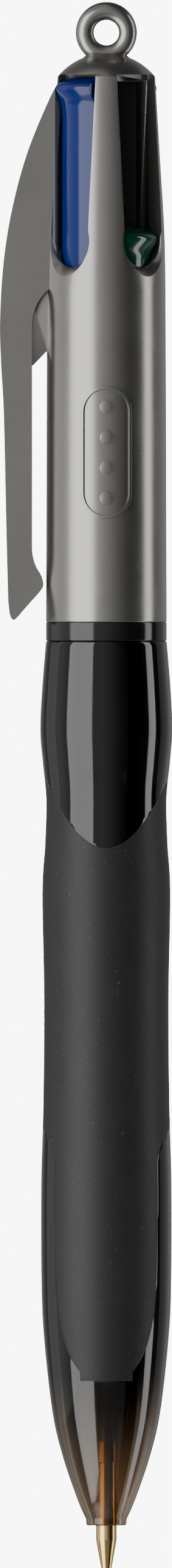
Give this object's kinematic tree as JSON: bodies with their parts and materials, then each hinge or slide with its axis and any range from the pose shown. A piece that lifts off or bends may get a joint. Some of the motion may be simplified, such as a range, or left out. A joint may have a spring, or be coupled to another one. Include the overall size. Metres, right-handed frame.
{
  "type": "multicolour click pen",
  "caption": "Retractable ballpoint pen with several sliding colour buttons round the barrel, a lanyard ring, a moulded pocket clip and a rubber grip on a screw-on lower barrel.",
  "frame": {"origin": "centre of the lanyard ring's hole, on the pen's axis", "axes": "+Z along the pen's axis towards the ring, so the writing tip points to -Z; the clip stands at -X; the ring's hole runs along Y"},
  "size_m": [0.0165, 0.0126, 0.1501],
  "materials": {
    "pewter_plastic": "satin, slightly metallic flake",
    "black_plastic": "gloss",
    "smoked_plastic": "polished, smoked translucent",
    "grip_rubber": "matt",
    "blue_plastic": "gloss",
    "green_plastic": "gloss",
    "red_plastic": "gloss",
    "refill_plastic": "clear, slightly milky",
    "blue_ink": "liquid",
    "green_ink": "liquid",
    "black_ink": "liquid",
    "red_ink": "liquid",
    "tip_brass": "turned",
    "ball_steel": "polished",
    "spring_steel": "bright wire"
  },
  "bodies": {
    "upper": {"upper_barrel": "pewter_plastic", "latch_core": "black_plastic", "collar_connector": "black_plastic", "spring_blue": "spring_steel", "spring_green": "spring_steel", "spring_black": "spring_steel", "spring_red": "spring_steel"},
    "lower": {"lower_barrel": "smoked_plastic", "rubber_grip": "grip_rubber"},
    "clip": {"clip_arm": "pewter_plastic"},
    "button_blue": {"slider_blue": "blue_plastic", "refill_tube_blue": "refill_plastic", "ink_blue": "blue_ink"},
    "point_blue": {"brass_tip_blue": "tip_brass", "ball_blue": "ball_steel"},
    "button_green": {"slider_green": "green_plastic", "refill_tube_green": "refill_plastic", "ink_green": "green_ink"},
    "point_green": {"brass_tip_green": "tip_brass", "ball_green": "ball_steel"},
    "button_black": {"slider_black": "black_plastic", "refill_tube_black": "refill_plastic", "ink_black": "black_ink"},
    "point_black": {"brass_tip_black": "tip_brass", "ball_black": "ball_steel"},
    "button_red": {"slider_red": "red_plastic", "refill_tube_red": "refill_plastic", "ink_red": "red_ink"},
    "point_red": {"brass_tip_red": "tip_brass", "ball_red": "ball_steel"}
  },
  "joints": [
    {"name": "barrel_unscrew", "type": "slide", "parent": "upper", "child": "lower", "axis": [0, 0, -1], "range_m": [0, 0.092]},
    {"name": "clip_flex", "type": "hinge", "parent": "upper", "child": "clip", "pos_m": [-0.0101, 0, -0.0315], "axis": [0, 1, 0], "range_deg": [0, 4], "stiffness_Nm_per_rad": 0.9},
    {"name": "blue_press", "type": "slide", "parent": "upper", "child": "button_blue", "axis": [0, 0, -1], "range_m": [0, 0.0144], "stiffness_N_per_m": 70, "springref_m": -0.006, "deforming": ["spring_blue", "refill_tube_blue", "ink_blue"]},
    {"name": "blue_point_swing", "type": "slide", "parent": "button_blue", "child": "point_blue", "axis": [0.7071, 0.7071, 0], "range_m": [0, 0.0024], "deforming": ["brass_tip_blue", "ball_blue"]},
    {"name": "green_release", "type": "slide", "parent": "upper", "child": "button_green", "axis": [0, 0, 1], "range_m": [0, 0.0144], "deforming": ["spring_green", "refill_tube_green", "ink_green"]},
    {"name": "green_point_swing", "type": "slide", "parent": "button_green", "child": "point_green", "axis": [0.7071, -0.7071, 0], "range_m": [0, 0.0024], "deforming": ["brass_tip_green", "ball_green"]},
    {"name": "black_press", "type": "slide", "parent": "upper", "child": "button_black", "axis": [0, 0, -1], "range_m": [0, 0.0144], "stiffness_N_per_m": 70, "springref_m": -0.006, "deforming": ["spring_black", "refill_tube_black", "ink_black"]},
    {"name": "black_point_swing", "type": "slide", "parent": "button_black", "child": "point_black", "axis": [0.7071, -0.7071, 0], "range_m": [0, 0.0024], "deforming": ["brass_tip_black", "ball_black"]},
    {"name": "red_press", "type": "slide", "parent": "upper", "child": "button_red", "axis": [0, 0, -1], "range_m": [0, 0.0144], "stiffness_N_per_m": 70, "springref_m": -0.006, "deforming": ["spring_red", "refill_tube_red", "ink_red"]},
    {"name": "red_point_swing", "type": "slide", "parent": "button_red", "child": "point_red", "axis": [-0.7071, -0.7071, 0], "range_m": [0, 0.0024], "deforming": ["brass_tip_red", "ball_red"]}
  ],
  "couplings": [
    {"joint": "blue_point_swing", "follows": "blue_press", "ratio": 0.16319},
    {"joint": "green_point_swing", "follows": "green_release", "ratio": 0.16319},
    {"joint": "black_point_swing", "follows": "black_press", "ratio": 0.16319},
    {"joint": "red_point_swing", "follows": "red_press", "ratio": 0.16319}
  ]
}
